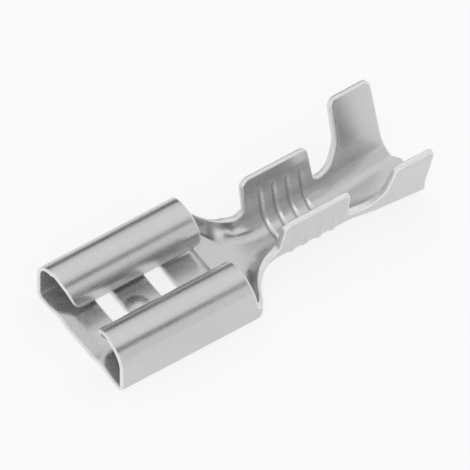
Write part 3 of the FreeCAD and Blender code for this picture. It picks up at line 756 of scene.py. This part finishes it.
def stamp_strip(sheet):
    """The flat strip with its thickness: (along, across, height) of points, faces, rim faces."""
    loops = [
        strip_outline(sheet),
        window_outline(sheet, sheet.front_window_start, sheet.front_window_length),
        window_outline(sheet, sheet.rear_window_start, sheet.rear_window_length),
    ]
    ways = [outward(loop) for loop in loops]
    inset = [loop - way * sheet.edge_round for loop, way in zip(loops, ways)]
    points = grid_points(sheet)
    points = points[clear_of(points, inset, OUTLINE_STEP * 0.7)]
    points = points[inside(inset[0], points)]
    for hole in inset[1:]:
        points = points[~inside(hole, points)]
    flat, triangles = flat_triangles(inset, points)
    levels = (sheet.half_gauge, -sheet.half_gauge)
    places = [np.column_stack([flat, np.full(len(flat), level)]) for level in levels]
    faces = [triangles, triangles[:, ::-1] + len(flat)]
    base = 2 * len(flat)
    rim_faces = []
    start = 0
    for loop, way in zip(loops, ways):
        count = len(loop)
        rows = [np.arange(start, start + count)]
        for out, height in rim_profile(sheet):
            places.append(np.column_stack([loop + way * out, np.full(count, height)]))
            rows.append(np.arange(base, base + count))
            base += count
        rows.append(np.arange(start, start + count) + len(flat))
        for over, under in zip(rows, rows[1:]):
            corners = [under, np.roll(under, -1), np.roll(over, -1), over]
            rim_faces.append(np.stack(corners, axis=-1))
        start += count
    return np.concatenate(places), np.concatenate(faces), np.concatenate(rim_faces)


def burnished(sheet, strip, up):
    """1 for a painted highlight on the rear flank of each serration's groove, -1 for painted shade on
    the front one.
    """
    turns = (strip[:, 0] - sheet.rib_first) / sheet.rib_pitch
    nearest = np.clip(np.round(turns), 0, RIBS - 1)
    away = (turns - nearest) * sheet.rib_pitch / sheet.groove_width
    rear = np.exp(-(((away - GROOVE_LIGHT_PLACE) / GROOVE_LIGHT_WIDTH) ** 2))
    front = np.exp(-(((away + GROOVE_LIGHT_PLACE) / GROOVE_LIGHT_WIDTH) ** 2))
    fade = np.clip((sheet.rib_height - up) / RIB_FADE, 0.0, 1.0)
    return (rear - front) * (strip[:, 2] > 0) * fade


def build_sheet_mesh(sheet):
    """The folded strip as a mesh in metres, centred as the frame is."""
    strip, triangles, rims = stamp_strip(sheet)
    places, normals = folded(sheet, strip[:, 0], strip[:, 1], strip[:, 2])
    places = (places - np.array([sheet.tail_end / 2, 0.0, 0.0])) * MM
    mesh = bpy.data.meshes.new("folded_sheet")
    faces = [tuple(int(i) for i in face) for face in (*triangles, *rims)]
    mesh.from_pydata([tuple(p) for p in places], [], faces)
    material_index = np.zeros(len(faces), dtype=np.int32)
    material_index[len(triangles):] = 1
    mesh.polygons.foreach_set("material_index", material_index)
    mesh.polygons.foreach_set("use_smooth", np.ones(len(faces), dtype=bool))
    for name, values in (("strip", strip * MM), ("inward", normals)):
        attribute = mesh.attributes.new(name, "FLOAT_VECTOR", "POINT")
        attribute.data.foreach_set("vector", values.astype(np.float32).ravel())
    # Painted highlight and painted shade on the grooves' flanks, for the plating's colour.
    bright = burnished(sheet, strip, places[:, 2] / MM)
    for name, values in (("level", places[:, 2]), ("burnish", bright)):
        attribute = mesh.attributes.new(name, "FLOAT", "POINT")
        attribute.data.foreach_set("value", values.astype(np.float32))
    mesh.update()
    return mesh


def add_node(tree, kind, links=(), **settings):
    """A node with its settings and with each input set to a value or linked to a socket."""
    node = tree.nodes.new(kind)
    for name, value in settings.items():
        setattr(node, name, value)
    for key, value in dict(links).items():
        if isinstance(value, bpy.types.NodeSocket):
            tree.links.new(value, node.inputs[key])
        else:
            node.inputs[key].default_value = value
    return node


def maths(tree, operation, *values, clamp=False):
    """A Math node's output for numbers or sockets."""
    inputs = dict(enumerate(values))
    return add_node(tree, "ShaderNodeMath", inputs, operation=operation, use_clamp=clamp).outputs[0]


def stored(tree, name, kind):
    """One of the mesh's attributes, for Geometry Nodes."""
    node = add_node(tree, "GeometryNodeInputNamedAttribute", {"Name": name}, data_type=kind)
    return node.outputs[0]


def rib_tree():
    """Geometry Nodes that press evenly spaced ribs outwards along the sheet's own normal."""
    tree = bpy.data.node_groups.new("press_ribs", "GeometryNodeTree")
    face = tree.interface
    face.new_socket("Geometry", in_out="INPUT", socket_type="NodeSocketGeometry")
    for name in RIB_SIZES:
        face.new_socket(name, in_out="INPUT", socket_type="NodeSocketFloat")
    face.new_socket("Count", in_out="INPUT", socket_type="NodeSocketInt")
    face.new_socket("Plating", in_out="INPUT", socket_type="NodeSocketMaterial")
    face.new_socket("Geometry", in_out="OUTPUT", socket_type="NodeSocketGeometry")
    given = tree.nodes.new("NodeGroupInput").outputs
    strip = stored(tree, "strip", "FLOAT_VECTOR")
    place = add_node(tree, "ShaderNodeSeparateXYZ", {0: strip}).outputs
    level = stored(tree, "level", "FLOAT")
    inward = stored(tree, "inward", "FLOAT_VECTOR")
    turns = maths(tree, "DIVIDE", maths(tree, "SUBTRACT", place[0], given["First"]), given["Pitch"])
    last = maths(tree, "SUBTRACT", given["Count"], 1.0)
    nearest = maths(tree, "ROUND", turns)
    nearest = maths(tree, "MINIMUM", maths(tree, "MAXIMUM", nearest, 0.0), last)
    away = maths(tree, "ABSOLUTE", maths(tree, "SUBTRACT", turns, nearest))
    away = maths(tree, "MULTIPLY", maths(tree, "MULTIPLY", away, given["Pitch"]), 2.0)
    outer = maths(tree, "MINIMUM", maths(tree, "DIVIDE", away, given["Bead width"]), 1.0)
    bead = maths(tree, "COSINE", maths(tree, "MULTIPLY", outer, math.pi))
    bead = maths(tree, "MULTIPLY", maths(tree, "ADD", bead, 1.0), 0.5)
    bead = maths(tree, "MULTIPLY", bead, given["Bead rise"])
    inner = maths(tree, "MINIMUM", maths(tree, "DIVIDE", away, given["Groove width"]), 1.0)
    groove = maths(tree, "MULTIPLY", maths(tree, "SUBTRACT", 1.0, inner), given["Groove depth"])
    share = maths(tree, "ADD", maths(tree, "DIVIDE", place[2], given["Gauge"]), 0.5, clamp=True)
    press = maths(tree, "MULTIPLY_ADD", maths(tree, "SUBTRACT", groove, bead), share, bead)
    fade = maths(tree, "SUBTRACT", given["Height"], level)
    fade = maths(tree, "DIVIDE", fade, RIB_FADE * MM)
    fade = maths(tree, "SMOOTH_MIN", maths(tree, "MAXIMUM", fade, 0.0), 1.0, 0.3)
    push = maths(tree, "MULTIPLY", maths(tree, "MULTIPLY", press, fade), -1.0)
    offset = add_node(
        tree, "ShaderNodeVectorMath", {0: inward, "Scale": push}, operation="SCALE"
    ).outputs[0]
    moved = add_node(
        tree, "GeometryNodeSetPosition", {"Geometry": given["Geometry"], "Offset": offset}
    )
    whole = add_node(tree, "GeometryNodeRealizeInstances", {"Geometry": moved.outputs[0]})
    index = tree.nodes.new("GeometryNodeInputMaterialIndex")
    faces = add_node(
        tree, "FunctionNodeCompare", {2: index.outputs[0], 3: 0}, data_type="INT", operation="EQUAL"
    )
    plated = add_node(
        tree,
        "GeometryNodeSetMaterial",
        {"Geometry": whole.outputs[0], "Selection": faces.outputs[0], "Material": given["Plating"]},
    )
    add_node(tree, "NodeGroupOutput", {0: plated.outputs[0]})
    return tree


def press_ribs(piece, sheet, plating):
    """Presses the serrations into the wire barrel and leaves a plain mesh."""
    tree = rib_tree()
    modifier = piece.modifiers.new("press_ribs", "NODES")
    modifier.node_group = tree
    values = {name: getattr(sheet, size) * MM for name, size in RIB_SIZES.items()}
    values.update({"Count": RIBS, "Plating": plating})
    for socket in tree.interface.items_tree:
        if socket.in_out == "INPUT" and socket.name in values:
            modifier[socket.identifier] = values[socket.name]
    depsgraph = bpy.context.evaluated_depsgraph_get()
    mesh = bpy.data.meshes.new_from_object(piece.evaluated_get(depsgraph))
    old = piece.data
    piece.modifiers.clear()
    piece.data = mesh
    bpy.data.meshes.remove(old)


def grain_group():
    """Rolling grain along the strip and soft clouds in the plating, both from 0 to 1."""
    tree = bpy.data.node_groups.new("rolled_grain", "ShaderNodeTree")
    face = tree.interface
    face.new_socket("Vector", in_out="INPUT", socket_type="NodeSocketVector")
    face.new_socket("Fineness", in_out="INPUT", socket_type="NodeSocketFloat")
    for name in ("Grain", "Clouds", "Specks"):
        face.new_socket(name, in_out="OUTPUT", socket_type="NodeSocketFloat")
    given = tree.nodes.new("NodeGroupInput").outputs
    vector = {0: given["Vector"], "Scale": 1.0 / MM}
    scaled = add_node(tree, "ShaderNodeVectorMath", vector, operation="SCALE").outputs[0]
    long_grain = {0: scaled, 1: (0.35, 6.0, 6.0)}
    stretched = add_node(tree, "ShaderNodeVectorMath", long_grain, operation="MULTIPLY").outputs[0]
    noises = {}
    for name, place, scale, detail, roughness in (
        ("Grain", stretched, given["Fineness"], 4.0, 0.6),
        ("Clouds", scaled, 0.9, 3.0, 0.55),
        ("Specks", scaled, 4.0, 2.0, 0.5),
    ):
        inputs = {"Vector": place, "Scale": scale, "Detail": detail, "Roughness": roughness}
        noises[name] = add_node(tree, "ShaderNodeTexNoise", inputs).outputs[0]
    add_node(tree, "NodeGroupOutput", noises)
    return tree


def tinted(tree, share, colour, tint):
    """A colour socket mixed towards a tint by a share."""
    node = add_node(tree, "ShaderNodeMix", {"Factor": share}, data_type="RGBA")
    tree.links.new(colour, node.inputs[6])
    node.inputs[7].default_value = (*tint, 1.0)
    return node.outputs[2]


def new_material(name, **values):
    """A material with its node tree and shader, whose inputs are set by name."""
    material = bpy.data.materials.new(name)
    material.use_nodes = True
    shader = material.node_tree.nodes["Principled BSDF"]
    for key, value in values.items():
        shader.inputs[label(key)].default_value = value
    return material, material.node_tree, shader


def plated_material(name, finish, grain, bright, dull, roughness, fineness, bump):
    """Tin plate with cloudy colour, a grain along the strip, painted highlight and painted shade on
    the serrations' grooves and a fine uneven surface.
    """
    material, tree, shader = new_material(name, metallic=METALLIC)
    strip = add_node(tree, "ShaderNodeAttribute", attribute_name="strip")
    effect = tree.nodes.new("ShaderNodeGroup")
    effect.node_tree = grain
    tree.links.new(strip.outputs["Vector"], effect.inputs["Vector"])
    effect.inputs["Fineness"].default_value = fineness
    noises = effect.outputs
    tone = maths(tree, "MULTIPLY", noises["Grain"], TONE_GRAIN)
    tone = maths(tree, "MULTIPLY_ADD", noises["Clouds"], TONE_CLOUDS, tone)
    tone = maths(tree, "SUBTRACT", tone, TONE_DROP, clamp=True)
    base = add_node(tree, "ShaderNodeMix", {"Factor": tone}, data_type="RGBA")
    base.inputs[6].default_value = (*dull, 1.0)
    base.inputs[7].default_value = (*bright, 1.0)
    groove_light_mask = add_node(tree, "ShaderNodeAttribute", attribute_name="burnish").outputs["Fac"]
    # Painted shade darkens the grooves' front flanks and a painted highlight brightens their rear
    # flanks.
    shade = maths(tree, "MULTIPLY", groove_light_mask, -GROOVE_SHADING, clamp=True)
    colour = tinted(tree, shade, base.outputs[2], finish.shaded)
    colour = tinted(tree, maths(tree, "MAXIMUM", groove_light_mask, 0.0), colour, finish.burnished)
    tree.links.new(colour, shader.inputs["Base Color"])
    start = roughness - ROUGH_DROP
    rough = maths(tree, "MULTIPLY_ADD", noises["Clouds"], ROUGH_CLOUDS, start)
    rough = maths(tree, "MULTIPLY_ADD", noises["Grain"], ROUGH_GRAIN, rough)
    tree.links.new(rough, shader.inputs["Roughness"])
    height = maths(tree, "MULTIPLY_ADD", noises["Specks"], SPECK_SHARE, noises["Grain"])
    uneven = {"Height": height, "Strength": bump, "Distance": BUMP_DEPTH * MM}
    bumps = add_node(tree, "ShaderNodeBump", uneven)
    tree.links.new(bumps.outputs[0], shader.inputs["Normal"])
    return material


class TERMINAL_OT_fold_sheet(bpy.types.Operator):
    """Stamp the flat strip, fold it and press its serrations"""

    bl_idname = "terminal.fold_sheet"
    bl_label = "Fold the sheet"

    def execute(self, context):
        sheet = Sheet(context.scene.terminal_sizes)
        finish = context.scene.terminal_finish
        grain = grain_group()
        rough = finish.roughness
        edge = finish.sheared
        plating = plated_material(
            "satin_tin", finish, grain, finish.plating, finish.dull, rough, fineness=1.0, bump=0.2
        )
        sheared = plated_material(
            "sheared_edge", finish, grain, edge, edge, rough + EDGE_ROUGHER, fineness=2.0, bump=0.5
        )
        mesh = build_sheet_mesh(sheet)
        mesh.materials.append(plating)
        mesh.materials.append(sheared)
        piece = add_object(context, "folded_sheet", mesh)
        press_ribs(piece, sheet, plating)
        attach(piece, "root")
        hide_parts(SHEET_NODE)
        return {"FINISHED"}


# Directions of the picture at the object: to its right, upwards and towards the camera. The
# picture's middle lies so many millimetres along the first two from the middle of the mouth.
VIEW_RIGHT = Vector((0.8290, -0.5593, 0.0))
VIEW_UP = Vector((0.4369, 0.6477, 0.6239))
VIEW_BACK = VIEW_RIGHT.cross(VIEW_UP).normalized()
VIEW_CENTRE = (7.7203, 5.4332)


def add_object(context, name, data):
    """A new object in the scene."""
    made = bpy.data.objects.new(name, data)
    context.scene.collection.objects.link(made)
    return made


def add_camera(context, settings, sheet):
    """A long view from above the mouth's right-hand side."""
    data = bpy.data.cameras.new("camera")
    data.type = "ORTHO"
    data.ortho_scale = settings.view_width
    data.clip_start = CLIP_START
    data.clip_end = CLIP_END
    camera = add_object(context, "camera", data)
    target = (VIEW_RIGHT * VIEW_CENTRE[0] + VIEW_UP * VIEW_CENTRE[1]) * MM
    target.x -= sheet.tail_end / 2 * MM
    turn = Matrix((VIEW_RIGHT, VIEW_UP, VIEW_BACK)).transposed()
    camera.matrix_world = Matrix.Translation(target + VIEW_BACK * CAMERA_DISTANCE) @ turn.to_4x4()
    context.scene.camera = camera


def add_softbox(context, name, direction, distance, size, strength):
    """A rectangular area lamp that looks at the object from a direction."""
    data = bpy.data.lights.new(name, "AREA")
    data.shape = "RECTANGLE"
    data.size, data.size_y = size
    data.energy = strength
    lamp = add_object(context, name, data)
    way = Vector(direction).normalized()
    lamp.location = way * distance
    lamp.rotation_mode = "QUATERNION"
    lamp.rotation_quaternion = way.to_track_quat("Z", "Y")


def add_card(context, name, centre, length, width, shade):
    """A studio card along the terminal that only shows in what the metal reflects."""
    middle = Vector(centre)
    along = Vector((length / 2, 0.0, 0.0))
    across = middle.cross(along).normalized() * width / 2
    mesh = bpy.data.meshes.new(name)
    corners = (-along - across, along - across, along + across, -along + across)
    mesh.from_pydata([middle + corner for corner in corners], [], [(0, 1, 2, 3)])
    material, _, shader = new_material(name, roughness=0.9)
    shader.inputs["Base Color"].default_value = (shade, shade, shade, 1.0)
    mesh.materials.append(material)
    card = add_object(context, name, mesh)
    card.visible_camera = False
    card.visible_diffuse = False
    card.visible_shadow = False


def floor_material(colour):
    """A matt floor that shows white to the camera and keeps part of the object's shadow."""
    material, tree, shader = new_material("studio_floor", roughness=0.95)
    shader.inputs["Base Color"].default_value = (*colour, 1.0)
    shader.inputs["Specular IOR Level"].default_value = 0.0
    white = add_node(tree, "ShaderNodeEmission", {"Color": (1.0, 1.0, 1.0, 1.0), "Strength": 1.0})
    path = tree.nodes.new("ShaderNodeLightPath").outputs
    seen = maths(tree, "MAXIMUM", path["Is Camera Ray"], path["Is Glossy Ray"])
    seen = maths(tree, "MAXIMUM", seen, path["Is Transmission Ray"])
    share = maths(tree, "MULTIPLY", seen, FLOOR_WHITE)
    inputs = {0: share, 1: shader.outputs[0], 2: white.outputs[0]}
    mixed = add_node(tree, "ShaderNodeMixShader", inputs)
    tree.links.new(mixed.outputs[0], tree.nodes["Material Output"].inputs["Surface"])
    return material


def add_floor(context, settings):
    """A square floor just under the object."""
    mesh = bpy.data.meshes.new("floor")
    corners = [(x * FLOOR_REACH, y * FLOOR_REACH, 0) for x, y in ((-1, -1), (1, -1), (1, 1), (-1, 1))]
    mesh.from_pydata(corners, [], [(0, 1, 2, 3)])
    mesh.transform(Matrix.Translation((0, 0, -FLOOR_DROP)))
    mesh.materials.append(floor_material(settings.floor))
    floor = add_object(context, "floor", mesh)


def set_world(strength):
    """An even white room."""
    world = bpy.data.worlds.new("room")
    world.use_nodes = True
    back = world.node_tree.nodes["Background"]
    back.inputs["Color"].default_value = (1.0, 1.0, 1.0, 1.0)
    back.inputs["Strength"].default_value = strength
    bpy.context.scene.world = world


class TERMINAL_OT_stage(bpy.types.Operator):
    """Add the floor, the light and the camera"""

    bl_idname = "terminal.stage"
    bl_label = "Set the stage"

    def execute(self, context):
        settings = context.scene.terminal_studio
        sheet = Sheet(context.scene.terminal_sizes)
        context.scene.view_settings.view_transform = "Standard"
        add_floor(context, settings)
        set_world(ROOM_LIGHT)
        for card in CARDS:
            add_card(context, *card)
        for box in SOFTBOXES:
            add_softbox(context, *box)
        add_camera(context, settings, sheet)
        return {"FINISHED"}


class TERMINAL_PT_panel(bpy.types.Panel):
    """Operators and sizes of the terminal"""

    bl_label = "Spade terminal"
    bl_idname = "TERMINAL_PT_panel"
    bl_space_type = "VIEW_3D"
    bl_region_type = "UI"
    bl_category = "Terminal"

    def draw(self, context):
        layout = self.layout
        for operator in (TERMINAL_OT_fold_sheet, TERMINAL_OT_stage):
            layout.operator(operator.bl_idname)
        for group in ("terminal_sizes", "terminal_finish", "terminal_studio"):
            box = layout.box()
            settings = getattr(context.scene, group)
            for name in settings.__annotations__:
                box.prop(settings, name)


GROUPS = {
    "terminal_sizes": SheetSizes,
    "terminal_finish": SheetFinish,
    "terminal_studio": StudioSettings,
}
CLASSES = (*GROUPS.values(), TERMINAL_OT_fold_sheet, TERMINAL_OT_stage, TERMINAL_PT_panel)


def register():
    for cls in CLASSES:
        bpy.utils.register_class(cls)
    for name, cls in GROUPS.items():
        setattr(bpy.types.Scene, name, bpy.props.PointerProperty(type=cls))


def unregister():
    for name in GROUPS:
        delattr(bpy.types.Scene, name)
    for cls in reversed(CLASSES):
        bpy.utils.unregister_class(cls)


def main():
    register()
    bpy.ops.terminal.fold_sheet()
    bpy.ops.terminal.stage()


if __name__ == "__main__":
    main()
